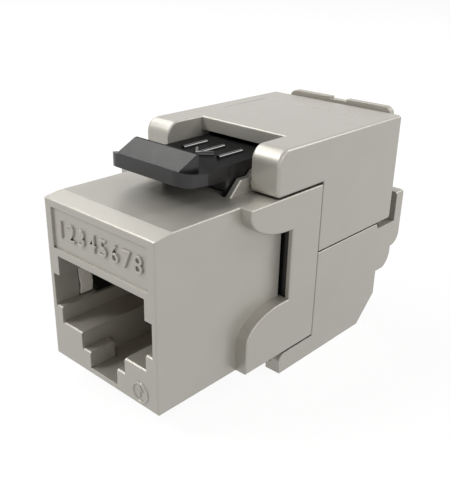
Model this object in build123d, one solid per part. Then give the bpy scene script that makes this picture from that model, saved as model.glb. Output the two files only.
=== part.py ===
from build123d import *
import os

# Shielded tool-less keystone jack. Sizes are in millimetres.
# X is across, with the mid plane at 0. Y runs from the port face to the cable end. Z is up.
# The work is drawn with the port face at Y 0 and the underside of the body at Z 0, and each
# piece is moved on export so that the origin is under the middle of the whole jack.

# Port for an 8-position modular plug
plug_width = 11.7
plug_side_gap = 0.12
port_floor_z = 0.6
key_low_half = 1.95
key_low_z = 2.3
key_low_depth = 2.9
key_high_half = 3.1
plug_floor_z = 3.95
ledge_z = 5.55
spring_bay_half = 6.85
spring_bay_top_z = 8.9
port_top_z = 10.9
port_depth = 13.5
ledge_edge_radius = 0.28
core_wall = 0.9
core_front_y = 2.2

# Body of the front housing
body_width = 14.8
body_height = 16.6
nose_length = 2.0
nose_drop = 0.3
body_edge_radius = 0.16
front_wall = 1.6
roof_wall = 1.3
floor_wall = 1.2
panel_side = 0.9
panel_head = 1.0
panel_height = 4.0
panel_depth = 0.22

# Ears at the sides of the body
ear_width = 17.4
ear_front_y = 10.0
ear_rear_y = 20.4
ear_wall = 0.5
slot_rear_y = 16.1
slot_low_z = 5.8
slot_drop = 3.4
upper_lobe_length = 5.8
upper_lobe_depth = 2.8
lower_lobe_length = 5.0
lower_lobe_depth = 2.6
slot_land = 0.15

# Catch under the body that hooks the lower edge of the panel
catch_half = 4.4
catch_front_y = 6.6
catch_length = 2.0
catch_drop = 1.1
catch_slope = 0.8
catch_lift = 0.6

# Lugs on the roof that hold the latch and the top cover
lug_inner_half = 4.55
lug_wall = 0.65
lug_front_y = 11.05
lug_slope = 1.4
lug_step_y = 13.85
lug_rise = 1.9
lug_rear_y = 17.5
lug_edge_radius = 0.14
weld_depth = 0.5

# Panel latch, with its heights above the roof of the body
latch_half = 4.45
latch_pad_half = 4.9
latch_pad_rear_y = 8.5
latch_neck_y = 11.9
latch_front_y = 5.4
latch_top_rise = 2.82
latch_under_rise = 1.5
latch_tip_rise = 3.45
latch_tip_under_rise = 2.18
latch_curve_y = 8.3
latch_curve_run = 2.0
latch_rear_y = 19.5
latch_rear_taper = 1.6
latch_rear_drop = 0.5
latch_corner_radius = 1.3
ramp_half = 4.0
ramp_front_y = 5.6
ramp_crest_y = 8.0
ramp_rear_y = 8.25
ramp_rise = 4.4
latch_leg_y = 12.1
latch_leg_rear_y = 13.6
latch_leg_sink = 0.3
latch_cheek_sink = 0.1
latch_swing_room = 0.5
latch_cheek = 0.35
latch_foot_y = 11.1
latch_root_radius = 0.75
latch_root_lift = 0.35
latch_pivot_y = 16.6
latch_pivot_rise = 1.0
latch_stub_radius = 0.4
latch_stub_gap = 0.05
well_gap = 0.15

# Top cover
cover_front_y = 13.5
cover_rise = 4.5
cover_roof = 1.4
cover_nose_radius = 1.4
cover_toe_radius = 0.5
cover_heel = 0.25
cover_edge_radius = 0.35
cutout_half = 5.45
cutout_rear_y = 18.3
cutout_edge_radius = 0.16
joint_z = 9.4
seam_gap = 0.15
seam_edge_radius = 0.1
door_wall = 1.0
cover_back_low_z = 12.4
cover_hinge_back = 0.65
cover_hinge_rise = 0.85
horn_length = 1.0
top_pin_radius = 0.4
top_pin_cap = 0.7
pin_gap = 0.04
bore_end_gap = 0.2
groove_width = 0.12
groove_depth = 0.06
groove_side = 1.9
groove_front_y = 22.9
groove_rear_gap = 3.9
groove_right_gap = 2.8
grip_length = 1.6
grip_rise = 0.3
grip_height = 0.8
grip_drop = 3.2

# Bottom shell
shell_bottom_z = -2.3
shell_floor = 1.1
shell_front_y = 15.2
shell_toe_y = 15.05
shell_hinge_y = 15.9
shell_hinge_z = -1.0
bottom_pin_radius = 0.45
bottom_pin_cap = 0.6
shell_length = 36.7
back_wall = 1.4
shell_mid_step = 1.6
shell_low_step = 4.3
shell_chamfer = 3.0
shell_step_low_z = 0.6
shell_step_high_z = 3.4
shell_mid_z = 5.75
shell_curve_run = 1.2
shell_mid_curve = 2.0
shell_rear_curve = 1.4
shell_rear_low_z = 7.1
shell_edge_radius = 0.12
shoulder_rise = 2.8
shoulder_radius = 0.35
notch_run = 3.8
notch_depth = 0.6
notch_slope = 0.3
shell_lug_inner = 5.2
shell_lug_width = 1.4
shell_lug_radius = 0.75
lug_notch_gap = 0.35

# Cable and its clamp
cable_radius = 3.4
clamp_side = 0.85
clamp_back_gap = 0.35
clamp_thickness = 0.8
clamp_rise = 0.4
clamp_leg_z = 6.9
clamp_foot_gap = 0.15
clamp_corner_radius = 0.9
clamp_notch_half = 1.1
clamp_notch_depth = 0.25
clamp_gap = 0.1
guide_width = 1.3
guide_side = 0.4
guide_thickness = 0.65
guide_rise = 2.5
cover_swing_gap = 0.95

# Contacts, board and blades
contact_count = 8
contact_pitch = 1.016
contact_width = 0.4
contact_thickness = 0.3
contact_side_gap = 0.1
contact_low_drop = 2.6
contact_high_drop = 1.2
contact_bend_y = 13.1
contact_tip_y = 3.4
contact_curl = 0.7
contact_curl_rise = 1.0
contact_curl_radius = 0.45
carrier_half = 6.3
carrier_gap = 0.1
carrier_thickness = 1.6
tray_depth = 3.6
comb_roof = 1.5
comb_front_y = 2.2
comb_rear_y = 12.4
comb_clearance = 0.6
carrier_hole_gap = 0.05
board_thickness = 0.8
board_gap = 0.1
board_edge = 0.5
board_hole_half = 0.24
tail_reach = 0.1
blade_columns = 4
blade_width = 2.7
blade_thickness = 0.4
blade_sink = 0.4
blade_slot = 0.35
blade_slot_root = 1.2
blade_lead_half = 0.7
blade_lead_depth = 1.0
blade_strip = 0.8
blade_gap = 0.05
blade_hole_gap = 0.1
blade_front_room = 2.5
blade_rear_room = 3.8

# Block that carries the blades
block_low_z = 2.3
block_head_gap = 0.2
block_side = 0.9
block_core = 2.0
block_rear_room = 3.0
flange_gap = 0.1
flange_thickness = 1.3
channel_width = 1.7
channel_start = 0.15

# Wire presses
press_side = 0.8
press_front_gap = 0.65
press_rear_room = 3.2
lower_press_back = 0.6
press_root = 0.7
fin_width = 1.3
fin_reach = 2.7
fin_front_room = 1.6
fin_rear_room = 0.4

# Shield springs
spring_front_y = 2.75
spring_width = 1.4
spring_sheet = 0.15
spring_wall_gap = 0.045
spring_bay_wall = 0.25
spring_top_gap = 0.25
spring_bend_drop = 0.6
spring_strap_height = 0.75
spring_finger_x = 6.58
spring_finger_z = 6.7
spring_tip_x = 6.78
spring_tip_gap = 0.2
spring_bend_radius = 0.2
spring_strap_lap = 0.2
rail_front_y = 4.4
rail_width = 0.5
rail_root = 0.15

# Worked out from the sizes above
body_half = body_width / 2
ear_half = ear_width / 2
plug_half = plug_width / 2 + plug_side_gap
chamber_roof_z = body_height - roof_wall
panel_high_z = body_height - panel_head
panel_low_z = panel_high_z - panel_height
slot_high_z = body_height - slot_drop
latch_top_z = body_height + latch_top_rise
latch_under_z = body_height + latch_under_rise
latch_tip_z = body_height + latch_tip_rise
latch_tip_under_z = body_height + latch_tip_under_rise
latch_pivot_z = body_height + latch_pivot_rise
cover_top_z = body_height + cover_rise
cover_under_z = cover_top_z - cover_roof
cover_step_z = body_height + seam_gap
cover_low_z = joint_z + seam_gap
cover_hinge_y = cover_front_y + cover_hinge_back
cover_hinge_z = body_height + cover_hinge_rise
door_inner_half = ear_half - door_wall
door_front_y = ear_rear_y + seam_gap
shell_floor_z = shell_bottom_z + shell_floor
shell_mid_y = shell_length - shell_mid_step
shell_step_y = shell_length - shell_low_step
shell_chamfer_y = shell_step_y - shell_chamfer
back_wall_y = shell_length - back_wall
shoulder_z = joint_z + shoulder_rise
cable_z = joint_z
clamp_half = door_inner_half - clamp_side
clamp_front_y = back_wall_y - clamp_back_gap
clamp_rear_y = clamp_front_y + clamp_thickness
clamp_top_z = cover_top_z + clamp_rise
cover_rear_y = clamp_front_y - cover_swing_gap
carrier_front_y = port_depth + carrier_gap
carrier_rear_y = carrier_front_y + carrier_thickness
carrier_top_z = chamber_roof_z - carrier_gap
comb_top_z = carrier_top_z - comb_roof
tray_low_z = carrier_top_z - tray_depth
contact_end_z = comb_top_z - comb_clearance
contact_tip_z = contact_end_z - contact_curl_rise
board_front_y = carrier_rear_y + board_gap
board_rear_y = board_front_y + board_thickness
flange_front_y = slot_rear_y + slot_land + blade_gap
flange_rear_y = flange_front_y + flange_thickness
block_high_z = chamber_roof_z - block_head_gap
block_mid_z = (block_low_z + block_high_z) / 2
block_half_height = (block_high_z - block_low_z) / 2
block_half = door_inner_half - block_side
block_rear_y = cover_rear_y - block_rear_room
channel_front_y = door_front_y + channel_start
blade_pitch = 2 * block_half / blade_columns
contact_tail_low_z = block_mid_z - contact_low_drop
contact_tail_high_z = block_mid_z - contact_high_drop
blade_outer_y = channel_front_y + blade_front_room
blade_inner_y = block_rear_y - blade_rear_room
press_half = door_inner_half - press_side
press_front_y = door_front_y + press_front_gap
press_rear_y = cover_rear_y - press_rear_room
bay_wall_x = spring_bay_half + spring_bay_wall
spring_strap_x = bay_wall_x - spring_wall_gap - spring_sheet / 2
whole_mid_y = shell_length / 2
sides = (-1, 1)


def block(x_from, x_to, y_from, y_to, z_from, z_to):
    size = (x_to - x_from, y_to - y_from, z_to - z_from)
    middle = ((x_from + x_to) / 2, (y_from + y_to) / 2, (z_from + z_to) / 2)
    return Pos(*middle) * Box(*size)


def side_prism(edges, x_from, x_to):
    face = make_face(edges)
    return extrude(Plane.YZ.offset(x_from) * face, amount=x_to - x_from)


def front_prism(edges, y_from, y_to):
    face = make_face(edges)
    return extrude(Plane.XZ.offset(-y_from) * face, amount=y_from - y_to)


def plan_prism(edges, z_from, z_to):
    face = make_face(edges)
    return extrude(Plane.XY.offset(z_from) * face, amount=z_to - z_from)


def closed(*points):
    return Polyline(*points, close=True)


def pin_along_x(x_from, x_to, y, z, radius):
    turned = Location((x_from, y, z), (0, 90, 0))
    return turned * Cylinder(radius, x_to - x_from, align=(Align.CENTER, Align.CENTER, Align.MIN))


def mirrored(shape):
    return mirror(shape, about=Plane.YZ)


def span(side, near, far):
    return sorted((side * near, side * far))


def edges_at(part, **where):
    found = part.edges()
    for name, value in where.items():
        found = [e for e in found if abs(abs(getattr(e.center(), name)) - value) < 0.02]
    return found


def edges_along(part, axis, **where):
    return [e for e in edges_at(part, **where) if abs(abs(e.tangent_at(0.5).dot(axis.direction)) - 1) < 0.01]


# Front housing

def ear_outline():
    upper_z = slot_high_z + upper_lobe_depth
    lower_z = slot_low_z - lower_lobe_depth
    upper_y = ear_front_y + upper_lobe_length
    lower_y = ear_front_y + lower_lobe_length
    lower = EllipticalCenterArc((lower_y, lower_z), lower_lobe_length, lower_lobe_depth, 90, arc_size=90)
    upper = EllipticalCenterArc((upper_y, upper_z), upper_lobe_length, upper_lobe_depth, 180, arc_size=90)
    return [
        Line((ear_front_y, 0), (ear_front_y, lower_z)),
        lower,
        Line((lower_y, slot_low_z), (slot_rear_y, slot_low_z)),
        Line((slot_rear_y, slot_low_z), (slot_rear_y, slot_high_z)),
        Line((slot_rear_y, slot_high_z), (upper_y, slot_high_z)),
        upper,
        Line((ear_front_y, upper_z), (ear_front_y, body_height)),
        Line((ear_front_y, body_height), (ear_rear_y, body_height)),
        Line((ear_rear_y, body_height), (ear_rear_y, 0)),
        Line((ear_rear_y, 0), (ear_front_y, 0)),
    ]


def housing_blank():
    nose = closed(
        (0, 0),
        (ear_rear_y, 0),
        (ear_rear_y, body_height),
        (nose_length, body_height),
        (0, body_height - nose_drop),
    )
    body = side_prism(nose, -body_half, body_half)
    ears = side_prism(ear_outline(), -ear_half, ear_half)
    blank = body + ears
    ear_rim = [e for e in edges_at(blank, X=ear_half) if e.center().Y < ear_rear_y - 0.02]
    body_rim = edges_at(blank, Y=0)
    roof_rim = edges_along(blank, Axis.Y, X=body_half, Z=body_height)
    return fillet(ear_rim + body_rim + roof_rim, body_edge_radius)


def port_outline():
    right = [
        (key_low_half, port_floor_z),
        (key_low_half, key_low_z),
        (key_high_half, key_low_z),
        (key_high_half, plug_floor_z),
        (plug_half, plug_floor_z),
        (plug_half, ledge_z),
        (spring_bay_half, ledge_z),
        (spring_bay_half, spring_bay_top_z),
        (plug_half, spring_bay_top_z),
        (plug_half, port_top_z),
    ]
    left = [(-x, z) for x, z in reversed(right)]
    return closed(*right, *left)


def cut_port(housing):
    housing -= front_prism(port_outline(), 0, port_depth)
    ledges = []
    for height in (key_low_z, plug_floor_z, ledge_z):
        ledges += edges_along(housing, Axis.X, Y=0, Z=height)
    housing = fillet(ledges, ledge_edge_radius)
    housing -= block(-key_high_half, key_high_half, key_low_depth, port_depth, port_floor_z, key_low_z)
    panel_half = body_half - panel_side
    housing -= block(-panel_half, panel_half, -1, panel_depth, panel_low_z, panel_high_z)
    return housing


def cut_cores(housing):
    # pockets behind the ledges keep the casting's walls even
    far = body_half - core_wall
    for side in sides:
        x_from, x_to = span(side, key_high_half + core_wall, far)
        housing -= block(x_from, x_to, core_front_y, port_depth, core_wall, plug_floor_z - core_wall)
    return housing


def cut_chambers(housing):
    housing -= block(-plug_half, plug_half, front_wall, port_depth, spring_bay_top_z, chamber_roof_z)
    room = carrier_half + carrier_gap
    housing -= block(-room, room, port_depth, ear_rear_y, floor_wall, chamber_roof_z)
    bay_front_y = spring_front_y - carrier_gap
    housing -= block(-bay_wall_x, bay_wall_x, bay_front_y, slot_rear_y - slot_land, ledge_z, spring_bay_top_z)
    rear_half = ear_half - ear_wall
    rear_y = slot_rear_y + slot_land
    housing -= block(-rear_half, rear_half, rear_y, ear_rear_y, floor_wall, chamber_roof_z)
    window_y = slot_rear_y - slot_land
    housing -= block(-rear_half, rear_half, window_y, ear_rear_y, slot_low_z, slot_high_z)
    return housing


def roof_lug():
    slope_top_z = body_height + lug_slope
    root_z = body_height - weld_depth
    top_z = body_height + lug_rise
    outline = closed(
        (lug_front_y, root_z),
        (lug_front_y, body_height),
        (lug_front_y + lug_slope, slope_top_z),
        (lug_step_y, slope_top_z),
        (lug_step_y + top_z - slope_top_z, top_z),
        (lug_rear_y, top_z),
        (lug_rear_y, root_z),
    )
    lug = side_prism(outline, lug_inner_half, lug_inner_half + lug_wall)
    slope_rims = edges_at(lug, Y=lug_front_y + lug_slope / 2, Z=body_height + lug_slope / 2)
    lug = fillet(slope_rims, lug_edge_radius)
    inner = lug_inner_half - lug_wall
    outer = lug_inner_half + 2 * lug_wall
    lug -= pin_along_x(inner, outer, cover_hinge_y, cover_hinge_z, top_pin_radius)
    stub_hole = latch_stub_radius + latch_stub_gap
    lug -= pin_along_x(inner, outer, latch_pivot_y, latch_pivot_z, stub_hole)
    return lug


def floor_lug():
    x_from = shell_lug_inner
    x_to = shell_lug_inner + shell_lug_width
    low = shell_hinge_y - shell_lug_radius
    high = shell_hinge_y + shell_lug_radius
    neck = block(x_from, x_to, low, high, shell_hinge_z, weld_depth)
    knuckle = pin_along_x(x_from, x_to, shell_hinge_y, shell_hinge_z, shell_lug_radius)
    lug = neck + knuckle
    lug -= pin_along_x(x_from - 1, x_to + 1, shell_hinge_y, shell_hinge_z, bottom_pin_radius)
    return lug


def panel_catch():
    rear = catch_front_y + catch_length
    outline = closed(
        (catch_front_y, weld_depth),
        (catch_front_y, -catch_drop),
        (rear - catch_slope, -catch_drop),
        (rear, -catch_drop + catch_lift),
        (rear, weld_depth),
    )
    return side_prism(outline, -catch_half, catch_half)


def latch_well():
    middle = latch_leg_y - well_gap
    rear = latch_leg_rear_y + latch_swing_room
    under = chamber_roof_z - weld_depth
    well = block(-lug_inner_half, lug_inner_half, middle, rear, under, body_height)
    cheek_inner = latch_half - latch_cheek - well_gap
    front = latch_foot_y - well_gap
    for side in sides:
        x_from, x_to = span(side, cheek_inner, lug_inner_half)
        well += block(x_from, x_to, front, rear, under, body_height)
    return well


def front_housing():
    housing = cut_port(housing_blank())
    housing = cut_cores(housing)
    housing = cut_chambers(housing)
    housing -= latch_well()
    housing += panel_catch()
    for lug in (roof_lug(), floor_lug()):
        housing += lug
        housing += mirrored(lug)
    return housing


# Panel latch

def latch_slab():
    tip_top = (latch_front_y, latch_tip_z)
    tip_under = (latch_front_y, latch_tip_under_z)
    top_bend = (latch_curve_y, latch_top_z + 0.03)
    top_flat = (latch_curve_y + latch_curve_run, latch_top_z)
    under_bend = (latch_curve_y, latch_under_z + 0.25)
    under_flat = (latch_curve_y + latch_curve_run + 1, latch_under_z)
    taper = (latch_rear_y - latch_rear_taper, latch_top_z)
    rear_top = (latch_rear_y, latch_top_z - latch_rear_drop)
    rear_low = (latch_rear_y, latch_under_z)
    edges = [
        Line(tip_under, tip_top),
        Spline(tip_top, top_bend, top_flat, tangents=[(1, -0.3), (1, 0)]),
        Line(top_flat, taper),
        Line(taper, rear_top),
        Line(rear_top, rear_low),
        Line(rear_low, under_flat),
        Spline(under_flat, under_bend, tip_under, tangents=[(-1, 0), (-1, 0.35)]),
    ]
    slab = side_prism(edges, -latch_pad_half, latch_pad_half)
    corners = edges_along(slab, Axis.Z, X=latch_pad_half, Y=latch_front_y)
    slab = fillet(corners, latch_corner_radius)
    beside = latch_pad_half + 1
    waist = closed(
        (latch_pad_half, latch_pad_rear_y),
        (latch_half, latch_neck_y),
        (latch_half, latch_rear_y),
        (beside, latch_rear_y),
        (beside, latch_pad_rear_y),
    )
    side = plan_prism(waist, latch_under_z - 1, latch_tip_z + 1)
    return slab - side - mirrored(side)


def latch_ramp():
    crest_z = body_height + ramp_rise
    outline = closed(
        (ramp_front_y, latch_tip_z - 0.25),
        (ramp_crest_y, crest_z),
        (ramp_rear_y, crest_z),
        (ramp_rear_y, latch_top_z - 0.2),
        (ramp_front_y, latch_tip_under_z + 0.4),
    )
    return side_prism(outline, -ramp_half, ramp_half)


def latch_root():
    sunk_z = body_height - latch_leg_sink
    lift_z = latch_pivot_z - latch_root_lift
    run = latch_root_radius + 0.45
    top = latch_under_z + 0.3
    rear = latch_pivot_y + latch_root_radius
    edges = [
        Line((latch_leg_y, top), (latch_leg_y, sunk_z)),
        Line((latch_leg_y, sunk_z), (latch_leg_rear_y, sunk_z)),
        Line((latch_leg_rear_y, sunk_z), (latch_leg_rear_y, lift_z)),
        Line((latch_leg_rear_y, lift_z), (latch_pivot_y - run, lift_z)),
        Line((latch_pivot_y - run, lift_z), (latch_pivot_y, latch_pivot_z - latch_root_radius)),
        CenterArc((latch_pivot_y, latch_pivot_z), latch_root_radius, -90, 90),
        Line((rear, latch_pivot_z), (rear, top)),
        Line((rear, top), (latch_leg_y, top)),
    ]
    return side_prism(edges, -latch_half, latch_half)


def latch_cheek_rib():
    sunk_z = body_height - latch_cheek_sink
    curve_top = (latch_leg_y - 0.4, latch_under_z + 0.1)
    curve_foot = (latch_foot_y, body_height + 0.1)
    back_y = latch_leg_y + latch_cheek / 2
    edges = [
        Spline(curve_top, curve_foot, tangents=[(0, -1), (-0.7, -0.5)]),
        Line(curve_foot, (latch_foot_y, sunk_z)),
        Line((latch_foot_y, sunk_z), (back_y, sunk_z)),
        Line((back_y, sunk_z), (back_y, latch_under_z + 0.1)),
        Line((back_y, latch_under_z + 0.1), curve_top),
    ]
    return side_prism(edges, latch_half - latch_cheek, latch_half)


def panel_latch():
    latch = latch_slab() + latch_ramp() + latch_root()
    rib = latch_cheek_rib()
    latch += rib
    latch += mirrored(rib)
    stub_end = lug_inner_half + lug_wall
    latch += pin_along_x(-stub_end, stub_end, latch_pivot_y, latch_pivot_z, latch_stub_radius)
    return latch


# Top cover

def cover_outline():
    top_front = (cover_front_y + cover_nose_radius, cover_top_z)
    nose = (cover_front_y, cover_top_z - cover_nose_radius)
    toe = (cover_front_y, cover_step_z + cover_toe_radius)
    toe_low = (cover_front_y + cover_toe_radius, cover_step_z)
    heel = (cover_rear_y, cover_low_z + cover_heel)
    heel_low = (cover_rear_y - cover_heel, cover_low_z)
    return [
        Line(toe, nose),
        RadiusArc(nose, top_front, cover_nose_radius),
        Line(top_front, (cover_rear_y, cover_top_z)),
        Line((cover_rear_y, cover_top_z), heel),
        Line(heel, heel_low),
        Line(heel_low, (door_front_y, cover_low_z)),
        Line((door_front_y, cover_low_z), (door_front_y, cover_step_z)),
        Line((door_front_y, cover_step_z), toe_low),
        RadiusArc(toe_low, toe, cover_toe_radius),
    ]


def cover_blank():
    cover = side_prism(cover_outline(), -ear_half, ear_half)
    rims = edges_at(cover, X=ear_half)
    rounded = [e for e in rims if abs(e.center().Z - cover_top_z) < 0.02]
    rounded += [e for e in rims if e.center().Y < cover_front_y + cover_nose_radius]
    seams = edges_along(cover, Axis.Y, X=ear_half, Z=cover_low_z)
    seams += edges_along(cover, Axis.Z, X=ear_half, Y=door_front_y)
    cover = fillet(rounded, cover_edge_radius)
    return fillet(edges_near_seam(cover, seams), seam_edge_radius)


def edges_near_seam(part, seams):
    centers = [e.center() for e in seams]
    return [e for e in part.edges() if any((e.center() - c).length < 0.01 for c in centers)]


def cut_hollow(cover):
    back = cover_rear_y - door_wall
    front = cutout_rear_y + horn_length
    low = joint_z - 1
    cover -= block(-door_inner_half, door_inner_half, front, back, low, cover_under_z)
    cover -= block(-cutout_half, cutout_half, cutout_rear_y, front, low, cover_under_z)
    cover -= block(-door_inner_half, door_inner_half, back, cover_rear_y, low, cover_back_low_z)
    return cover


def cut_latch_opening(cover):
    cover -= block(-cutout_half, cutout_half, cover_front_y, cutout_rear_y, body_height, cover_top_z)
    nose_z = cover_top_z - cover_nose_radius
    inner = [e for e in edges_at(cover, X=cutout_half) if e.center().Z > nose_z]
    inner = [e for e in inner if e.center().Y < cutout_rear_y - 0.1]
    rear = edges_along(cover, Axis.X, Y=cutout_rear_y, Z=cover_top_z)
    return fillet(inner + rear, cutout_edge_radius)


def cut_top_groove(cover):
    low = cover_top_z - groove_depth
    left = -ear_half + groove_side
    rear = cover_rear_y - groove_rear_gap
    right = ear_half - groove_right_gap
    cover -= block(left, left + groove_width, groove_front_y, rear + groove_width, low, cover_top_z)
    cover -= block(left, right, rear, rear + groove_width, low, cover_top_z)
    return cover


def grip_rib():
    high = cover_top_z - grip_drop + grip_height
    outline = closed(
        (cover_rear_y - door_wall / 2, high),
        (cover_rear_y, high),
        (cover_rear_y + grip_rise, high - grip_rise),
        (cover_rear_y + grip_rise, high - grip_height + grip_rise),
        (cover_rear_y, high - grip_height),
        (cover_rear_y - door_wall / 2, high - grip_height),
    )
    return side_prism(outline, ear_half - seam_gap - grip_length, ear_half - seam_gap)


def cable_arch(y_from, y_to):
    turned = Location((0, y_from, cable_z), (-90, 0, 0))
    return turned * Cylinder(cable_radius, y_to - y_from, align=(Align.CENTER, Align.CENTER, Align.MIN))


def top_cover():
    cover = cut_latch_opening(cover_blank())
    cover = cut_hollow(cover)
    cover = cut_top_groove(cover)
    cover -= cable_arch(cover_rear_y - 2 * door_wall, cover_rear_y + 1)
    cover += grip_rib()
    cover += mirrored(grip_rib())
    bore = top_pin_radius + pin_gap
    for side in sides:
        ends = span(side, lug_inner_half, ear_half - top_pin_cap + bore_end_gap)
        cover -= pin_along_x(*ends, cover_hinge_y, cover_hinge_z, bore)
    return cover


def top_hinge_pin():
    end = ear_half - top_pin_cap
    return pin_along_x(lug_inner_half, end, cover_hinge_y, cover_hinge_z, top_pin_radius)


# Bottom shell

def shell_outline():
    toe_radius = shell_hinge_y - shell_toe_y
    toe = (shell_toe_y, shell_hinge_z)
    toe_top = (shell_hinge_y, shell_hinge_z + toe_radius)
    corner = (shell_front_y, shell_bottom_z)
    mid_low = (shell_mid_y - shell_curve_run, shell_step_high_z)
    mid_high = (shell_mid_y, shell_mid_z - 0.3)
    mid_top = (shell_mid_y, shell_mid_z)
    rear_low = (shell_length - shell_curve_run, shell_mid_z)
    rear_high = (shell_length, shell_rear_low_z)
    notch_y = back_wall_y - notch_run
    notch_z = joint_z - notch_depth
    step_high = (shell_step_y, shell_step_high_z)
    step_low = (shell_step_y, shell_step_low_z)
    chamfer = (shell_chamfer_y, shell_bottom_z)
    return [
        Line(corner, toe),
        RadiusArc(toe, toe_top, toe_radius),
        Line(toe_top, (door_front_y, toe_top[1])),
        Line((door_front_y, toe_top[1]), (door_front_y, joint_z)),
        Line((door_front_y, joint_z), (notch_y, joint_z)),
        Line((notch_y, joint_z), (notch_y + notch_slope, notch_z)),
        Line((notch_y + notch_slope, notch_z), (back_wall_y, notch_z)),
        Line((back_wall_y, notch_z), (back_wall_y, shoulder_z)),
        Line((back_wall_y, shoulder_z), (shell_length, shoulder_z)),
        Line((shell_length, shoulder_z), rear_high),
        RadiusArc(rear_high, rear_low, shell_rear_curve),
        Line(rear_low, mid_top),
        Line(mid_top, mid_high),
        RadiusArc(mid_high, mid_low, shell_mid_curve),
        Line(mid_low, step_high),
        Line(step_high, step_low),
        Line(step_low, chamfer),
        Line(chamfer, corner),
    ]


def shell_blank():
    shell = side_prism(shell_outline(), -ear_half, ear_half)
    shoulder_rims = edges_along(shell, Axis.Y, X=ear_half, Z=shoulder_z)
    shell = fillet(shoulder_rims, shoulder_radius)
    seam_rims = edges_along(shell, Axis.Y, X=ear_half, Z=joint_z)
    seam_rims += edges_along(shell, Axis.Z, X=ear_half, Y=door_front_y)
    return fillet(seam_rims, shell_edge_radius)


def shell_hollow():
    front = shell_toe_y - 1
    high = shoulder_z + 1
    inner_step_y = shell_step_y - door_wall
    inner_step_z = shell_step_high_z + door_wall
    outline = closed(
        (front, shell_floor_z),
        (shell_chamfer_y - 0.4, shell_floor_z),
        (inner_step_y, shell_step_low_z + 0.4),
        (inner_step_y, inner_step_z),
        (shell_mid_y - shell_curve_run, inner_step_z),
        (shell_mid_y - 0.6, shell_mid_z + 0.2),
        (back_wall_y, shell_mid_z + 0.9),
        (back_wall_y, high),
        (front, high),
    )
    return side_prism(outline, -door_inner_half, door_inner_half)


def shell_guide():
    rear = clamp_front_y - clamp_gap
    outer = door_inner_half - guide_side
    low = shell_step_high_z + door_wall / 2
    return block(outer - guide_width, outer, rear - guide_thickness, rear, low, joint_z + guide_rise)


def cut_clamp_pocket(shell):
    half = clamp_half + clamp_gap
    rear = clamp_rear_y + clamp_gap
    return shell - block(-half, half, back_wall_y, rear, clamp_leg_z - clamp_foot_gap, shoulder_z)


def cut_cable_saddle(shell):
    front = shell_step_y
    rear = shell_length + 1
    shell -= cable_arch(front, rear)
    return shell - block(-cable_radius, cable_radius, front, rear, cable_z, shoulder_z)


def cut_lug_notches(shell):
    near = shell_lug_inner - lug_notch_gap
    far = shell_lug_inner + shell_lug_width + lug_notch_gap
    front = shell_toe_y - 1
    rear = shell_hinge_y + 2 * shell_lug_radius
    bore = bottom_pin_radius + pin_gap
    end = ear_half - bottom_pin_cap + bore_end_gap
    for side in sides:
        x_from, x_to = span(side, near, far)
        shell -= block(x_from, x_to, front, rear, shell_bottom_z, 0)
        shell -= pin_along_x(*span(side, shell_lug_inner, end), shell_hinge_y, shell_hinge_z, bore)
    return shell


def bottom_shell():
    shell = shell_blank() - shell_hollow()
    shell += shell_guide()
    shell += mirrored(shell_guide())
    shell = cut_clamp_pocket(shell)
    shell = cut_cable_saddle(shell)
    return cut_lug_notches(shell)


def bottom_hinge_pin():
    end = ear_half - bottom_pin_cap
    return pin_along_x(shell_lug_inner, end, shell_hinge_y, shell_hinge_z, bottom_pin_radius)


def cable_clamp():
    plate = block(-clamp_half, clamp_half, clamp_front_y, clamp_rear_y, clamp_leg_z, clamp_top_z)
    corners = edges_along(plate, Axis.Y, X=clamp_half, Z=clamp_top_z)
    plate = fillet(corners, clamp_corner_radius)
    plate -= cable_arch(clamp_front_y - 1, clamp_rear_y + 1)
    plate -= block(-cable_radius, cable_radius, clamp_front_y, clamp_rear_y, clamp_leg_z, cable_z)
    notch_z = clamp_top_z - clamp_notch_depth
    notch = clamp_notch_half
    return plate - block(-notch, notch, clamp_front_y, clamp_rear_y, notch_z, clamp_top_z)


# Contacts and their carrier

def contact_x(index):
    return (index - (contact_count - 1) / 2) * contact_pitch


def contact_tail_z(index):
    return contact_tail_high_z if index % 2 else contact_tail_low_z


def jack_contact(index):
    tail_z = contact_tail_z(index)
    path = FilletPolyline(
        (board_rear_y + tail_reach, tail_z),
        (contact_bend_y, tail_z),
        (contact_tip_y, contact_tip_z),
        (contact_tip_y - contact_curl, contact_end_z),
        radius=contact_curl_radius,
    )
    face = trace(path, line_width=contact_thickness)
    x_from = contact_x(index) - contact_width / 2
    return extrude(Plane.YZ.offset(x_from) * face, amount=contact_width)


def carrier_rail():
    rear_y = carrier_rear_y
    outer = spring_bay_half
    low = ledge_z + carrier_gap
    high = spring_bay_top_z - carrier_gap
    rail = block(outer - rail_width, outer, rail_front_y, rear_y, low, high)
    root_x = carrier_half - rail_root
    return rail + block(root_x, outer, carrier_front_y, rear_y, low, high)


def contact_carrier():
    low = floor_wall + carrier_gap
    wall = block(-carrier_half, carrier_half, carrier_front_y, carrier_rear_y, low, carrier_top_z)
    tray_half = plug_half - carrier_gap
    tray_front_y = front_wall + 2 * carrier_gap
    tray = block(-tray_half, tray_half, tray_front_y, carrier_front_y, tray_low_z, carrier_top_z)
    carrier = wall + tray
    comb_half = contact_width / 2 + contact_side_gap
    hole_half = contact_width / 2 + carrier_hole_gap
    hole_rise = contact_thickness / 2 + carrier_hole_gap
    for index in range(contact_count):
        x = contact_x(index)
        z = contact_tail_z(index)
        carrier -= block(x - comb_half, x + comb_half, comb_front_y, comb_rear_y, tray_low_z, comb_top_z)
        carrier -= block(
            x - hole_half, x + hole_half, comb_rear_y, carrier_rear_y, z - hole_rise, z + hole_rise
        )
    carrier += carrier_rail()
    carrier += mirrored(carrier_rail())
    return carrier


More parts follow.
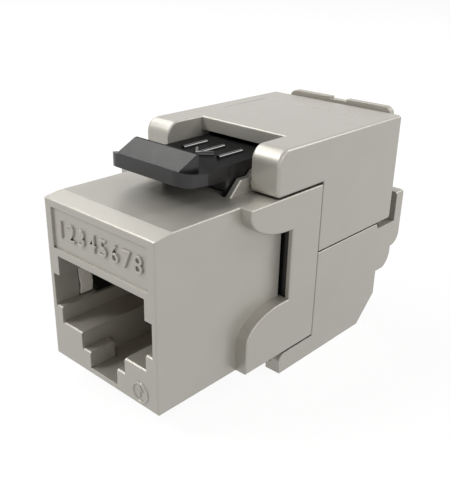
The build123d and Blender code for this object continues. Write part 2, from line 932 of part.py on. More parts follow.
def shield_spring():
    high = spring_bay_top_z - spring_top_gap
    finger = FilletPolyline(
        (spring_strap_x, high),
        (spring_strap_x, spring_bay_top_z - spring_bend_drop),
        (spring_finger_x, spring_finger_z),
        (spring_tip_x, ledge_z + spring_tip_gap),
        radius=spring_bend_radius,
    )
    face = trace(finger, line_width=spring_sheet)
    rear = spring_front_y + spring_width
    spring = extrude(Plane.XZ.offset(-spring_front_y) * face, amount=-spring_width)
    half = spring_sheet / 2
    low = high - spring_strap_height
    strap = block(
        spring_strap_x - half, spring_strap_x + half, rear - spring_strap_lap, comb_rear_y, low, high
    )
    return spring + strap


def circuit_board():
    half = carrier_half - carrier_gap
    low = floor_wall + board_edge
    high = chamber_roof_z - board_edge
    front = board_front_y
    rear = board_rear_y
    board = block(-half, half, front, rear, low, high)
    gap = board_hole_half
    for index in range(contact_count):
        x = contact_x(index)
        z = contact_tail_z(index)
        board -= block(x - gap, x + gap, front, rear, z - gap, z + gap)
    reach = blade_strip / 2 + blade_hole_gap
    rise = blade_thickness / 2 + blade_hole_gap
    for x, z, _ in blade_places():
        board -= block(x - reach, x + reach, front, rear, z - rise, z + rise)
    return board


# Blades and the block that holds them

def column_x(column):
    return (column - (blade_columns - 1) / 2) * blade_pitch


def column_y(column):
    return blade_outer_y if column in (0, blade_columns - 1) else blade_inner_y


def blade_places():
    drop = block_core - blade_thickness / 2
    return [
        (column_x(column), block_mid_z + side * drop, column_y(column))
        for side in sides
        for column in range(blade_columns)
    ]


def upward(z):
    return 1 if z > block_mid_z else -1


def idc_blade(x, z, y):
    up = upward(z)
    half = blade_width / 2
    thin = blade_thickness / 2
    base_z = z - up * thin
    tip_z = block_mid_z + up * (block_half_height - blade_sink)
    plate = block(x - half, x + half, y - thin, y + thin, *sorted((base_z, tip_z)))
    slot = blade_slot / 2
    slot_z = base_z + up * blade_slot_root
    plate -= block(x - slot, x + slot, y - thin, y + thin, *sorted((slot_z, tip_z)))
    lead = closed(
        (x - blade_lead_half, tip_z),
        (x + blade_lead_half, tip_z),
        (x, tip_z - up * blade_lead_depth),
    )
    plate -= front_prism(lead, y - thin, y + thin)
    strip = blade_strip / 2
    return plate + block(x - strip, x + strip, board_front_y + tail_reach, y, z - thin, z + thin)


def cut_channels(body):
    half = channel_width / 2
    for side in sides:
        floor_z = block_mid_z + side * block_core
        rim_z = block_mid_z + side * block_half_height
        for column in range(blade_columns):
            x = column_x(column)
            body -= block(x - half, x + half, channel_front_y, block_rear_y, *sorted((floor_z, rim_z)))
    return body


def cut_blade_seats(body):
    strip = blade_strip / 2 + blade_gap
    thin = blade_thickness / 2 + blade_gap
    reach = blade_width / 2 + blade_gap
    for x, z, y in blade_places():
        up = upward(z)
        rim_z = block_mid_z + up * block_half_height
        body -= block(x - strip, x + strip, flange_front_y, y, z - thin, z + thin)
        body -= block(x - reach, x + reach, y - thin, y + thin, *sorted((z - up * thin, rim_z)))
    return body


def idc_block():
    body = block(-block_half, block_half, flange_front_y, block_rear_y, block_low_z, block_high_z)
    half = ear_half - ear_wall - flange_gap
    low = floor_wall + flange_gap
    high = chamber_roof_z - flange_gap
    body += block(-half, half, flange_front_y, flange_rear_y, low, high)
    return cut_blade_seats(cut_channels(body))


# Wire presses

def wire_press(up):
    root_z = block_mid_z + up * (block_half_height + press_root)
    outer_z = cover_under_z if up > 0 else shell_floor_z
    tip_z = block_mid_z + up * (block_half_height - fin_reach)
    rear = press_rear_y if up > 0 else shell_chamfer_y - lower_press_back
    press = block(-press_half, press_half, press_front_y, rear, *sorted((root_z, outer_z)))
    half = fin_width / 2
    for column in range(blade_columns):
        x = column_x(column)
        y = column_y(column)
        spans = [(y + blade_thickness / 2 + fin_rear_room, rear)]
        if y == blade_inner_y:
            spans.append((press_front_y, y - blade_thickness / 2 - fin_front_room))
        for y_from, y_to in spans:
            press += block(x - half, x + half, y_from, y_to, *sorted((tip_z, root_z)))
    return press


def placed(part):
    return Pos(0, -whole_mid_y, -shell_bottom_z) * part


def all_nodes():
    nodes = {
        "front_housing": front_housing(),
        "panel_latch": panel_latch(),
        "top_cover": top_cover(),
        "bottom_shell": bottom_shell(),
        "cable_clamp": cable_clamp(),
        "contact_carrier": contact_carrier(),
        "circuit_board": circuit_board(),
        "idc_block": idc_block(),
        "upper_wire_press": wire_press(1),
        "lower_wire_press": wire_press(-1),
        "shield_spring_right": shield_spring(),
        "shield_spring_left": mirrored(shield_spring()),
        "top_hinge_pin_right": top_hinge_pin(),
        "top_hinge_pin_left": mirrored(top_hinge_pin()),
        "bottom_hinge_pin_right": bottom_hinge_pin(),
        "bottom_hinge_pin_left": mirrored(bottom_hinge_pin()),
    }
    for index in range(contact_count):
        nodes[f"jack_contact_{index + 1}"] = jack_contact(index)
    for index, (x, z, y) in enumerate(blade_places()):
        nodes[f"idc_blade_{index + 1}"] = idc_blade(x, z, y)
    return nodes


os.makedirs("parts", exist_ok=True)
for node, part in all_nodes().items():
    export_step(placed(part), f"parts/{node}.step")
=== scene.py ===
import logging
import math
from dataclasses import dataclass, field
from enum import Enum
from typing import Any, Iterable, Sequence

import bmesh
import bpy
from mathutils import Matrix, Vector


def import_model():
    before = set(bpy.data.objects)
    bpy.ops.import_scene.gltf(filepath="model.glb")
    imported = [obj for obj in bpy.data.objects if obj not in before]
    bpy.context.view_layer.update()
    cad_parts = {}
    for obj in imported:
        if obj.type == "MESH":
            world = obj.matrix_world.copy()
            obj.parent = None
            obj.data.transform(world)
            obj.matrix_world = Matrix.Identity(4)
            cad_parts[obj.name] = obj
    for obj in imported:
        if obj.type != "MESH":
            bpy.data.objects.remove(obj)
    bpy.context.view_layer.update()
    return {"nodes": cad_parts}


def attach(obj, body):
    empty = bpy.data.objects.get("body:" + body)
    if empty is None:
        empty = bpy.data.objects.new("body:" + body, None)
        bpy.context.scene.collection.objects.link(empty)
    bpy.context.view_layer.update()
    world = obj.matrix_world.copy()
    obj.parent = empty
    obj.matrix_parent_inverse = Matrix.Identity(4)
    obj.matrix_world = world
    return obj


log = logging.getLogger("keystone_jack")

# A millimetre in metres, and how far the drawing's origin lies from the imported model's, in millimetres.
MM: float = 0.001
HALF_LENGTH: float = 18.35
FOOT_HEIGHT: float = 2.3

Point = tuple[float, float, float]
Colour = tuple[float, float, float]
Nodes = dict[str, bpy.types.Object]
Socket = bpy.types.NodeSocket


class Body(Enum):
    """The moving bodies of the jack."""

    HOUSING = "housing"
    LATCH = "latch"
    COVER = "top_cover"
    SHELL = "bottom_shell"
    CLAMP = "cable_clamp"


class Slot(Enum):
    """The material slots that pieces take their finish from."""

    CASTING = "die_cast"
    PLATE = "clamp_plate"
    PLASTIC = "black_plastic"
    GLOSS = "black_gloss"
    BOARD = "board"
    GOLD = "gold_plate"
    TIN = "tin_plate"
    SPRING = "spring_steel"


def place(x: float, y: float, z: float) -> Vector:
    """Turn a drawing point into a scene point.

    Args:
        x: millimetres from the middle plane.
        y: millimetres behind the port face.
        z: millimetres above the underside of the body.

    Returns:
        The same point in metres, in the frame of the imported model.
    """
    return Vector((x, y - HALF_LENGTH, z + FOOT_HEIGHT)) * MM


def way_to(azimuth: float, elevation: float) -> Vector:
    """Point away from the jack.

    Args:
        azimuth: degrees from the port's side towards the right side.
        elevation: degrees above the floor.

    Returns:
        The direction, of length 1.
    """
    around, above = math.radians(azimuth), math.radians(elevation)
    flat = math.cos(above)
    return Vector((math.sin(around) * flat, -math.cos(around) * flat, math.sin(above)))


# Finishes


def grey(level: float) -> Colour:
    """Return the grey of a level."""
    return (level, level, level)


def shade(colour: Colour, share: float) -> Colour:
    """Return the colour made lighter or darker by a share."""
    red, green, blue = (min(1.0, part * share) for part in colour)
    return (red, green, blue)


class NodeSheet:
    """A small helper that lays out and links shader nodes."""

    RAY_SAMPLES: int = 8
    GAP_SHADE: float = 0.02
    GAP_START: float = 0.25
    GAP_END: float = 0.58

    def __init__(self, name: str) -> None:
        """Start an empty material.

        Args:
            name: the material's name.
        """
        self.material: bpy.types.Material = bpy.data.materials.new(name)
        self.material.use_nodes = True
        self.tree = self.material.node_tree
        self.tree.nodes.clear()

    def node(self, kind: str, **settings: Any) -> bpy.types.Node:
        """Add a node.

        Args:
            kind: the node's type name.
            settings: attributes to set on it.

        Returns:
            The new node.
        """
        made = self.tree.nodes.new(kind)
        for key, value in settings.items():
            setattr(made, key, value)
        return made

    def link(self, out: Socket, into: Socket) -> None:
        """Link one socket to another."""
        self.tree.links.new(out, into)

    def noise(self, scale: float, detail: float) -> Socket:
        """Add a noise texture in object space.

        Args:
            scale: waves per metre.
            detail: layers of finer noise.

        Returns:
            The noise's grey output.
        """
        coords = self.node("ShaderNodeTexCoord")
        texture = self.node("ShaderNodeTexNoise")
        texture.inputs["Scale"].default_value = scale
        texture.inputs["Detail"].default_value = detail
        self.link(coords.outputs["Object"], texture.inputs["Vector"])
        return texture.outputs["Fac"]

    def ramp(
        self, factor: Socket, low: Colour, high: Colour, start: float = 0.3, end: float = 0.7
    ) -> Socket:
        """Spread a grey value between two colours.

        Args:
            factor: the grey value.
            low: the colour below start.
            high: the colour above end.
            start: where the change begins.
            end: where the change ends.

        Returns:
            The coloured output.
        """
        ramp = self.node("ShaderNodeValToRGB")
        ramp.color_ramp.elements[0].position = start
        ramp.color_ramp.elements[1].position = end
        ramp.color_ramp.elements[0].color = (*low, 1.0)
        ramp.color_ramp.elements[1].color = (*high, 1.0)
        self.link(factor, ramp.inputs["Fac"])
        return ramp.outputs["Color"]

    def wander(self, factor: Socket, middle: float, reach: float) -> Socket:
        """Let a grey value wander round a level.

        Args:
            factor: the grey value that drives it.
            middle: the level.
            reach: how far it goes to each side.

        Returns:
            The wandering value.
        """
        return self.ramp(factor, grey(middle - reach), grey(middle + reach))

    def bump(
        self, height: Socket, strength: float, distance: float, under: Socket | None = None
    ) -> Socket:
        """Add a bump layer.

        Args:
            height: the grey value that raises the surface.
            strength: share of the bump that is used.
            distance: height in metres of a full step.
            under: the normal of a bump layer below this one.

        Returns:
            The bumped normal.
        """
        bump = self.node("ShaderNodeBump")
        bump.inputs["Strength"].default_value = strength
        bump.inputs["Distance"].default_value = distance
        self.link(height, bump.inputs["Height"])
        if under is not None:
            self.link(under, bump.inputs["Normal"])
        return bump.outputs["Normal"]

    def crevice(self, colour: Socket, reach: float) -> Socket:
        """Paint shade into a colour deep inside narrow gaps, where ambient occlusion finds them.

        Args:
            colour: the colour in the open.
            reach: the width in metres of the widest gap that darkens.

        Returns:
            The colour with painted shade in the gaps.
        """
        # Ambient occlusion finds the gaps, and their darkness is painted shade multiplied into the base
        # colour.
        hidden = self.node("ShaderNodeAmbientOcclusion", samples=self.RAY_SAMPLES)
        hidden.inputs["Distance"].default_value = reach
        shaded, open_air = grey(self.GAP_SHADE), grey(1.0)
        share = self.ramp(hidden.outputs["AO"], shaded, open_air, self.GAP_START, self.GAP_END)
        # In a Mix node 0 is the factor, 6 and 7 are the colours, and 2 is the mixed colour.
        mix = self.node("ShaderNodeMix", data_type="RGBA", blend_type="MULTIPLY")
        mix.inputs[0].default_value = 1.0
        self.link(share, mix.inputs[6])
        self.link(colour, mix.inputs[7])
        return mix.outputs[2]

    def soft_edge(self, radius: float) -> Socket:
        """Round the edges that the shading sees.

        Args:
            radius: the radius in metres of the rounding.

        Returns:
            The rounded normal.
        """
        edge = self.node("ShaderNodeBevel", samples=self.RAY_SAMPLES)
        edge.inputs["Radius"].default_value = radius
        return edge.outputs["Normal"]

    def finish(self, shader: bpy.types.Node) -> bpy.types.Material:
        """Join the shader to the output.

        Args:
            shader: the last shader node.

        Returns:
            The finished material.
        """
        output = self.node("ShaderNodeOutputMaterial")
        self.link(shader.outputs[0], output.inputs["Surface"])
        return self.material


@dataclass(frozen=True)
class PlatedMetal:
    """A plated metal with fine grain, faint cloudiness and painted shade in narrow gaps, in waves per
    metre and metres.
    """

    name: str
    colour: Colour
    metallic: float = 1.0
    roughness: float = 0.4
    spread: float = 0.02
    grain: float = 9000.0
    grain_depth: float = 0.000004
    grain_share: float = 0.5
    cloud: float = 260.0
    cloud_tone: float = 0.015
    haze_finer: float = 3.0
    pit_finer: float = 5.0
    pit_deeper: float = 2.0
    pit_share: float = 0.25
    # Reach in metres of the painted shade in narrow gaps.
    crevice: float = 0.0003
    edge_radius: float = 0.00009

    def build(self) -> bpy.types.Material:
        """Build the material.

        Returns:
            The plated metal.
        """
        sheet = NodeSheet(self.name)
        shader = sheet.node("ShaderNodeBsdfPrincipled")
        shader.inputs["Metallic"].default_value = self.metallic
        dark, light = shade(self.colour, 1 - self.cloud_tone), shade(self.colour, 1 + self.cloud_tone)
        tone = sheet.ramp(sheet.noise(self.cloud, detail=4.0), dark, light)
        # The base colour carries painted shade in narrow gaps.
        sheet.link(sheet.crevice(tone, self.crevice), shader.inputs["Base Color"])
        haze = sheet.noise(self.cloud * self.haze_finer, detail=5.0)
        sheet.link(sheet.wander(haze, self.roughness, self.spread), shader.inputs["Roughness"])
        edge = sheet.soft_edge(self.edge_radius)
        pits = sheet.noise(self.cloud * self.pit_finer, detail=2.0)
        coarse = sheet.bump(pits, self.pit_share, self.grain_depth * self.pit_deeper, edge)
        grain = sheet.noise(self.grain, detail=2.0)
        sheet.link(sheet.bump(grain, self.grain_share, self.grain_depth, coarse), shader.inputs["Normal"])
        return sheet.finish(shader)


@dataclass(frozen=True)
class MouldedPlastic:
    """A moulded plastic with a fine spark-eroded texture, which shines less where it lies flat."""

    name: str
    colour: Colour
    roughness: float = 0.3
    specular: float = 0.3
    flat_specular: float = 0.01
    flat_start: float = 0.7
    flat_end: float = 0.985
    cloud: float = 350.0
    cloud_tone: float = 0.15
    haze: float = 1500.0
    haze_spread: float = 0.02
    texture: float = 7000.0
    texture_share: float = 0.4
    depth: float = 0.000001

    def build(self) -> bpy.types.Material:
        """Build the material.

        Returns:
            The moulded plastic.
        """
        sheet = NodeSheet(self.name)
        shader = sheet.node("ShaderNodeBsdfPrincipled")
        geometry = sheet.node("ShaderNodeNewGeometry")
        split = sheet.node("ShaderNodeSeparateXYZ")
        sheet.link(geometry.outputs["Normal"], split.inputs[0])
        steep, flat = grey(self.specular), grey(self.flat_specular)
        shine = sheet.ramp(split.outputs["Z"], steep, flat, self.flat_start, self.flat_end)
        sheet.link(shine, shader.inputs["Specular IOR Level"])
        dark, light = shade(self.colour, 1 - self.cloud_tone), shade(self.colour, 1 + self.cloud_tone)
        cloud = sheet.noise(self.cloud, detail=3.0)
        sheet.link(sheet.ramp(cloud, dark, light), shader.inputs["Base Color"])
        haze = sheet.noise(self.haze, detail=2.0)
        sheet.link(sheet.wander(haze, self.roughness, self.haze_spread), shader.inputs["Roughness"])
        texture = sheet.noise(self.texture, detail=2.0)
        sheet.link(sheet.bump(texture, self.texture_share, self.depth), shader.inputs["Normal"])
        return sheet.finish(shader)


@dataclass(frozen=True)
class SolderMask:
    """The green lacquer of a circuit board, with faint woven glass under it."""

    name: str = "solder_mask"
    colour: Colour = (0.02, 0.11, 0.045)
    roughness: float = 0.3
    weave: float = 2600.0
    weave_low: float = 0.85
    weave_high: float = 1.2
    weave_depth: float = 0.000008
    weave_share: float = 0.2

    def build(self) -> bpy.types.Material:
        """Build the material.

        Returns:
            The lacquered board.
        """
        sheet = NodeSheet(self.name)
        shader = sheet.node("ShaderNodeBsdfPrincipled")
        shader.inputs["Roughness"].default_value = self.roughness
        coords = sheet.node("ShaderNodeTexCoord")
        weave = sheet.node("ShaderNodeTexChecker")
        weave.inputs["Scale"].default_value = self.weave
        weave.inputs["Color1"].default_value = (*shade(self.colour, self.weave_low), 1.0)
        weave.inputs["Color2"].default_value = (*shade(self.colour, self.weave_high), 1.0)
        sheet.link(coords.outputs["Object"], weave.inputs["Vector"])
        sheet.link(weave.outputs["Color"], shader.inputs["Base Color"])
        ripple = sheet.noise(self.weave, detail=2.0)
        sheet.link(sheet.bump(ripple, self.weave_share, self.weave_depth), shader.inputs["Normal"])
        return sheet.finish(shader)


@dataclass
class Finishes:
    """All the finishes of the jack, built once."""

    casting: PlatedMetal = PlatedMetal("satin_nickel_casting", (0.49, 0.474, 0.428), 0.35, 0.36)
    plate: PlatedMetal = PlatedMetal("clamp_satin", (0.5, 0.475, 0.42), 0.25, 0.45)
    plastic: MouldedPlastic = MouldedPlastic("black_nylon", (0.008, 0.008, 0.0085), 0.3, 0.55)
    gloss: MouldedPlastic = MouldedPlastic("black_gloss", grey(0.003), 0.12, 0.6, 0.6, depth=0.0)
    board: SolderMask = SolderMask()
    gold: PlatedMetal = PlatedMetal("contact_gold", (0.85, 0.62, 0.26), 1.0, 0.22, spread=0.04)
    tin: PlatedMetal = PlatedMetal("blade_tin", (0.66, 0.65, 0.62), 1.0, 0.34, spread=0.06)
    spring: PlatedMetal = PlatedMetal(
        "spring_nickel", (0.92, 0.89, 0.82), 0.1, 0.45, grain_depth=0.0000005
    )
    built: dict[Slot, bpy.types.Material] = field(default_factory=dict)

    def build(self) -> "Finishes":
        """Build every material.

        Returns:
            This set of finishes.
        """
        makers = {
            Slot.CASTING: self.casting,
            Slot.PLATE: self.plate,
            Slot.PLASTIC: self.plastic,
            Slot.GLOSS: self.gloss,
            Slot.BOARD: self.board,
            Slot.GOLD: self.gold,
            Slot.TIN: self.tin,
            Slot.SPRING: self.spring,
        }
        for slot, maker in makers.items():
            self.built[slot] = maker.build()
        return self

    def dress(self, piece: bpy.types.Object, slot: Slot) -> None:
        """Give a piece one of the finishes.

        Args:
            piece: the mesh object.
            slot: the finish that it takes.
        """
        piece.data.materials.clear()
        piece.data.materials.append(self.built[slot])


# Shapes


class Relief:
    """Mesh tools for small raised marks."""

    ROUND_STEPS: int = 12
    LEAST_TURN: float = 0.5

    @staticmethod
    def to_object(name: str, mesh: bmesh.types.BMesh) -> bpy.types.Object:
        """Turn mesh data into an object in the scene.

        Args:
            name: the object's name.
            mesh: the mesh data, which is freed.

        Returns:
            The new object.
        """
        bmesh.ops.recalc_face_normals(mesh, faces=mesh.faces)
        data = bpy.data.meshes.new(name)
        mesh.to_mesh(data)
        mesh.free()
        made = bpy.data.objects.new(name, data)
        bpy.context.scene.collection.objects.link(made)
        return made

    @staticmethod
    def stroke(
        mesh: bmesh.types.BMesh, points: Sequence[Vector], up: Vector, width: float, height: float
    ) -> None:
        """Lay a rounded rib along a line of points.

        Args:
            mesh: the mesh data to add to.
            points: the line, in metres, on the surface that carries it.
            up: the direction that the rib stands up in.
            width: the rib's width in metres.
            height: the rib's height in metres.
        """
        steps = Relief.ROUND_STEPS
        rows: list[list[bmesh.types.BMVert]] = []
        last = len(points) - 1
        for index, point in enumerate(points):
            before = (point - points[index - 1]).normalized() if index > 0 else None
            after = (points[index + 1] - point).normalized() if index < last else None
            along = ((before or after) + (after or before)).normalized()
            side = along.cross(up).normalized()
            spread = 1.0
            if before is not None and after is not None:
                spread = 1.0 / max(Relief.LEAST_TURN, side.dot(after.cross(up).normalized()))
            row = []
            for step in range(steps + 1):
                angle = math.pi * step / steps
                across = math.cos(angle) * width / 2 * spread
                row.append(mesh.verts.new(point + side * across + up * (math.sin(angle) * height)))
            rows.append(row)
        for first, second in zip(rows, rows[1:]):
            for left, right in zip(range(steps), range(1, steps + 1)):
                mesh.faces.new((first[left], first[right], second[right], second[left]))
            mesh.faces.new((first[steps], first[0], second[0], second[steps]))
        for row in (rows[0], rows[-1]):
            mesh.faces.new(row)

    @staticmethod
    def smooth(piece: bpy.types.Object, angle: float = 40.0) -> None:
        """Shade a piece smooth, with edges sharper than the angle kept.

        Args:
            piece: the mesh object.
            angle: the sharpest smooth edge in degrees.
        """
        for face in piece.data.polygons:
            face.use_smooth = True
        data = bmesh.new()
        data.from_mesh(piece.data)
        limit = math.radians(angle)
        for edge in data.edges:
            edge.smooth = len(edge.link_faces) == 2 and edge.calc_face_angle(0.0) < limit
        data.to_mesh(piece.data)
        data.free()


@dataclass
class PortFace:
    """The front of the housing: contact numbers in the name panel and a casting mark in the corner.

    The sizes are in millimetres, in the drawing's frame.
    """

    finishes: Finishes
    contacts: int = 8
    panel_floor_y: float = 0.22
    panel_low_z: float = 11.6
    panel_high_z: float = 15.6
    number_pitch: float = 1.5
    number_height: float = 1.75
    number_body: float = 1.35
    number_rise: float = 0.16
    number_thin: float = 0.03
    number_edge: float = 0.04
    mark_x: float = 5.1
    mark_z: float = 1.35
    mark_rise: float = 0.12
    ring_radius: float = 0.95
    ring_width: float = 0.26
    ring_points: int = 32
    arrow_width: float = 0.22
    arrow_reach: float = 0.5
    head_reach: float = 0.52
    head_half: float = 0.32
    head_low: float = 0.15

    def number(self, count: int) -> bpy.types.Mesh:
        """Raise one contact number from the panel's floor.

        Args:
            count: the contact's number.

        Returns:
            The number's mesh, in its place.
        """
        text = bpy.data.curves.new(f"contact_number_{count}", "FONT")
        text.body = str(count)
        text.size = self.number_height * self.number_body * MM
        text.align_x = "CENTER"
        text.align_y = "CENTER"
        text.extrude = self.number_rise * MM
        text.offset = -self.number_thin * MM
        text.bevel_depth = self.number_edge * MM
        text.bevel_resolution = 1
        text.resolution_u = 4
        holder = bpy.data.objects.new(text.name, text)
        bpy.context.scene.collection.objects.link(holder)
        bpy.context.view_layer.update()
        graph = bpy.context.evaluated_depsgraph_get()
        solid = bpy.data.meshes.new_from_object(holder.evaluated_get(graph))
        bpy.data.objects.remove(holder)
        bpy.data.curves.remove(text)
        x = (count - (self.contacts + 1) / 2) * self.number_pitch
        spot = place(x, self.panel_floor_y, (self.panel_low_z + self.panel_high_z) / 2)
        solid.transform(Matrix.Translation(spot) @ Matrix.Rotation(math.pi / 2, 4, "X"))
        return solid

    def numbers(self) -> bpy.types.Object:
        """Join the contact numbers.

        Returns:
            One mesh with all the numbers.
        """
        joined = bmesh.new()
        for count in range(1, self.contacts + 1):
            solid = self.number(count)
            joined.from_mesh(solid)
            bpy.data.meshes.remove(solid)
        return Relief.to_object("contact_numbers", joined)

    def on_mark(self, x: float, z: float) -> Vector:
        """Return a point on the front face, from the casting mark's middle."""
        return place(self.mark_x + x, 0.0, self.mark_z + z)

    def casting_mark(self) -> bpy.types.Object:
        """Raise a plain ring with an arrow, as castings carry.

        Returns:
            The mark's mesh.
        """
        ring = []
        for step in range(self.ring_points + 1):
            turn = step * math.tau / self.ring_points
            ring.append(self.on_mark(self.ring_radius * math.sin(turn), self.ring_radius * math.cos(turn)))
        shaft = [self.on_mark(0.0, -self.arrow_reach), self.on_mark(0.0, self.arrow_reach)]
        head = [
            self.on_mark(-self.head_half, self.head_low),
            self.on_mark(0.0, self.head_reach),
            self.on_mark(self.head_half, self.head_low),
        ]
        mesh = bmesh.new()
        up = Vector((0.0, -1.0, 0.0))
        for line, width in ((ring, self.ring_width), (shaft, self.arrow_width), (head, self.arrow_width)):
            Relief.stroke(mesh, line, up, width * MM, self.mark_rise * MM)
        return Relief.to_object("casting_mark", mesh)

    def build(self, nodes: Nodes) -> None:
        """Build the marks and dress the housing's nodes.

        Args:
            nodes: the CAD nodes by name.
        """
        self.finishes.dress(nodes["front_housing"], Slot.CASTING)
        for piece in (self.numbers(), self.casting_mark()):
            Relief.smooth(piece)
            self.finishes.dress(piece, Slot.CASTING)
            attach(piece, Body.HOUSING.value)
            log.info("port face: %s, %d faces", piece.name, len(piece.data.polygons))


@dataclass
class Latch:
    """The snap latch with a raised arrow that says which way it presses.

    The sizes are in millimetres, in the drawing's frame.
    """

    finishes: Finishes
    top_z: float = 19.42
    sink: float = 0.02
    stroke_width: float = 0.5
    stroke_rise: float = 0.3
    front_y: float = 12.1
    rear_y: float = 15.7
    head_reach: float = 1.1
    rib_x: float = 2.3
    rib_back: float = 0.4

    def arrow(self) -> bpy.types.Object:
        """Raise an arrow between two grip ribs.

        Returns:
            The mesh of all strokes.
        """
        tip = (0.0, self.front_y)
        wings = [(side * self.head_reach, self.front_y + self.head_reach) for side in (-1, 1)]
        lines = [[(0.0, self.rear_y), tip], [wings[0], tip, wings[1]]]
        for x in (-self.rib_x, self.rib_x):
            lines.append([(x, self.rear_y), (x, self.front_y + self.rib_back)])
        mesh = bmesh.new()
        up = Vector((0.0, 0.0, 1.0))
        for line in lines:
            points = [place(x, y, self.top_z - self.sink) for x, y in line]
            Relief.stroke(mesh, points, up, self.stroke_width * MM, self.stroke_rise * MM)
        return Relief.to_object("latch_arrow", mesh)

    def build(self, nodes: Nodes) -> None:
        """Build the arrow and dress the latch.

        Args:
            nodes: the CAD nodes by name.
        """
        self.finishes.dress(nodes["panel_latch"], Slot.PLASTIC)
        arrow = self.arrow()
        Relief.smooth(arrow)
        self.finishes.dress(arrow, Slot.GLOSS)
        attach(arrow, Body.LATCH.value)
        log.info("latch: %s, %d faces", arrow.name, len(arrow.data.polygons))


@dataclass
class Insides:
    """The carrier, contacts, board, blades and springs inside the housing."""

    finishes: Finishes

    def build(self, nodes: Nodes) -> None:
        """Dress the inner nodes.

        Args:
            nodes: the CAD nodes by name.
        """
        finish_of: dict[str, Slot] = {
            "contact_carrier": Slot.PLASTIC,
            "idc_block": Slot.PLASTIC,
            "upper_wire_press": Slot.PLASTIC,
            "lower_wire_press": Slot.PLASTIC,
            "circuit_board": Slot.BOARD,
            "jack_contact_": Slot.GOLD,
            "idc_blade_": Slot.TIN,
            "shield_spring_": Slot.SPRING,
            "top_hinge_pin_": Slot.SPRING,
            "bottom_hinge_pin_": Slot.SPRING,
        }
        for name, node in nodes.items():
            for start, slot in finish_of.items():
                if name.startswith(start):
                    self.finishes.dress(node, slot)
                    log.info("inside: %s has %s", name, slot.value)


@dataclass
class WireHalves:
    """The top cover, the bottom shell and the cable clamp."""

    finishes: Finishes

    def build(self, nodes: Nodes) -> None:
        """Dress the cast wire halves.

        Args:
            nodes: the CAD nodes by name.
        """
        for name in ("top_cover", "bottom_shell"):
            self.finishes.dress(nodes[name], Slot.CASTING)
        self.finishes.dress(nodes["cable_clamp"], Slot.PLATE)
        log.info("wire halves: cast halves and their clamp dressed")


# Studio


def seen_rays(tree: bpy.types.NodeTree) -> Socket:
    """Tell the rays that show a background from the rays that light with it.

    Args:
        tree: the node tree of a material or a world.

    Returns:
        1 for rays from the camera, off gloss or through glass, and 0 for the others.
    """
    path = tree.nodes.new("ShaderNodeLightPath")
    share = path.outputs["Is Camera Ray"]
    for kind in ("Is Glossy Ray", "Is Transmission Ray"):
        either = tree.nodes.new("ShaderNodeMath")
        either.operation = "MAXIMUM"
        tree.links.new(share, either.inputs[0])
        tree.links.new(path.outputs[kind], either.inputs[1])
        share = either.outputs[0]
    return share


@dataclass(frozen=True)
class Softbox:
    """One soft lamp that points at the jack, with angles in degrees and sizes in metres."""

    name: str
    azimuth: float
    elevation: float
    width: float
    height: float
    watts: float
    distance: float = 0.5
    tint: Colour = (1.0, 0.99, 0.97)

    def build(self, target: Vector) -> None:
        """Hang the lamp.

        Args:
            target: the point that it lights.
        """
        way = way_to(self.azimuth, self.elevation)
        data = bpy.data.lights.new(self.name, "AREA")
        data.shape = "RECTANGLE"
        data.size = self.width
        data.size_y = self.height
        data.energy = self.watts
        data.color = self.tint
        lamp = bpy.data.objects.new(self.name, data)
        lamp.location = target + way * self.distance
        lamp.rotation_euler = (-way).to_track_quat("-Z", "Y").to_euler()
        bpy.context.scene.collection.objects.link(lamp)


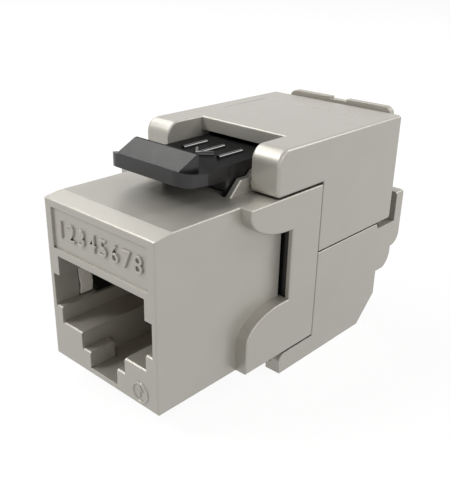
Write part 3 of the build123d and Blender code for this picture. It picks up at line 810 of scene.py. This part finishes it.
@dataclass
class Studio:
    """The camera, the floor, the lamps and the white surroundings.

    The angles are in degrees, the eye is in the drawing's frame, the sensor is in millimetres, and
    the sight, the floor and the lamps' target are in metres.
    """

    azimuth: float = 42.24
    elevation: float = 24.11
    roll: float = 1.27
    eye: Point = (44.26, -32.49, 37.55)
    focal_pixels: float = 693.7
    image_height: float = 504.0
    sensor_height: float = 24.0
    sight_start: float = 0.001
    sight_end: float = 20.0
    floor_radius: float = 4.0
    floor_tone: float = 0.62
    floor_glow: float = 1.15
    floor_seen: float = 0.8
    world_level: float = 0.13
    lamp_target_z: float = 0.012
    lamps: tuple[Softbox, ...] = (
        Softbox("left", -74.0, 50.0, 0.62, 0.13, 1.4),
        Softbox("quarter", -40.0, 38.0, 0.15, 0.15, 0.6),
        Softbox("front", 58.0, 10.0, 0.35, 0.35, 0.36),
        Softbox("side", 95.0, 25.0, 0.2, 0.2, 0.48),
        Softbox("back", 150.0, 38.0, 0.15, 0.15, 0.6),
    )

    def camera(self) -> None:
        """Set up the camera at the photograph's place."""
        back = way_to(self.azimuth, self.elevation)
        tilt = math.radians(self.roll)
        right = (-back).cross(Vector((0.0, 0.0, 1.0))).normalized()
        up = right.cross(-back)
        turned_right = right * math.cos(tilt) + up * math.sin(tilt)
        turned_up = up * math.cos(tilt) - right * math.sin(tilt)
        data = bpy.data.cameras.new("photo_camera")
        data.sensor_fit = "VERTICAL"
        data.sensor_height = self.sensor_height
        data.lens = self.focal_pixels * self.sensor_height / self.image_height
        data.clip_start = self.sight_start
        data.clip_end = self.sight_end
        camera = bpy.data.objects.new("photo_camera", data)
        matrix = Matrix((turned_right, turned_up, back)).transposed().to_4x4()
        matrix.translation = place(*self.eye)
        camera.matrix_world = matrix
        bpy.context.scene.collection.objects.link(camera)
        bpy.context.scene.camera = camera

    def floor(self) -> None:
        """Lay a wide pale floor that keeps a soft shadow."""
        mesh = bmesh.new()
        bmesh.ops.create_circle(mesh, cap_ends=True, radius=self.floor_radius, segments=64)
        floor = Relief.to_object("floor", mesh)
        sheet = NodeSheet("pale_floor")
        diffuse = sheet.node("ShaderNodeBsdfDiffuse")
        diffuse.inputs["Color"].default_value = (*grey(self.floor_tone), 1.0)
        glow = sheet.node("ShaderNodeEmission")
        glow.inputs["Strength"].default_value = self.floor_glow
        seen = sheet.node("ShaderNodeMath", operation="MULTIPLY")
        seen.inputs[1].default_value = self.floor_seen
        sheet.link(seen_rays(sheet.tree), seen.inputs[0])
        mix = sheet.node("ShaderNodeMixShader")
        sheet.link(seen.outputs[0], mix.inputs["Fac"])
        sheet.link(diffuse.outputs[0], mix.inputs[1])
        sheet.link(glow.outputs[0], mix.inputs[2])
        floor.data.materials.append(sheet.finish(mix))

    def surroundings(self) -> None:
        """Make the world white where it is seen and softer where it lights."""
        world = bpy.data.worlds.new("white_room")
        bpy.context.scene.world = world
        world.use_nodes = True
        tree = world.node_tree
        tree.nodes.clear()
        mix = tree.nodes.new("ShaderNodeMixShader")
        tree.links.new(seen_rays(tree), mix.inputs["Fac"])
        for socket, strength in ((mix.inputs[1], self.world_level), (mix.inputs[2], 1.0)):
            light = tree.nodes.new("ShaderNodeBackground")
            light.inputs["Color"].default_value = (*grey(1.0), 1.0)
            light.inputs["Strength"].default_value = strength
            tree.links.new(light.outputs[0], socket)
        output = tree.nodes.new("ShaderNodeOutputWorld")
        tree.links.new(mix.outputs[0], output.inputs["Surface"])

    def build(self) -> None:
        """Build the whole studio."""
        self.camera()
        self.floor()
        self.surroundings()
        for lamp in self.lamps:
            lamp.build(Vector((0.0, 0.0, self.lamp_target_z)))
        bpy.context.scene.view_settings.view_transform = "Standard"


def main() -> None:
    """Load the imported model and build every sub-assembly in order."""
    logging.basicConfig(level=logging.INFO, format="%(message)s")
    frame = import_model()
    nodes: Nodes = frame["nodes"]
    Studio().build()
    finishes = Finishes().build()
    PortFace(finishes).build(nodes)
    Latch(finishes).build(nodes)
    WireHalves(finishes).build(nodes)
    Insides(finishes).build(nodes)


if __name__ == "__main__":
    main()
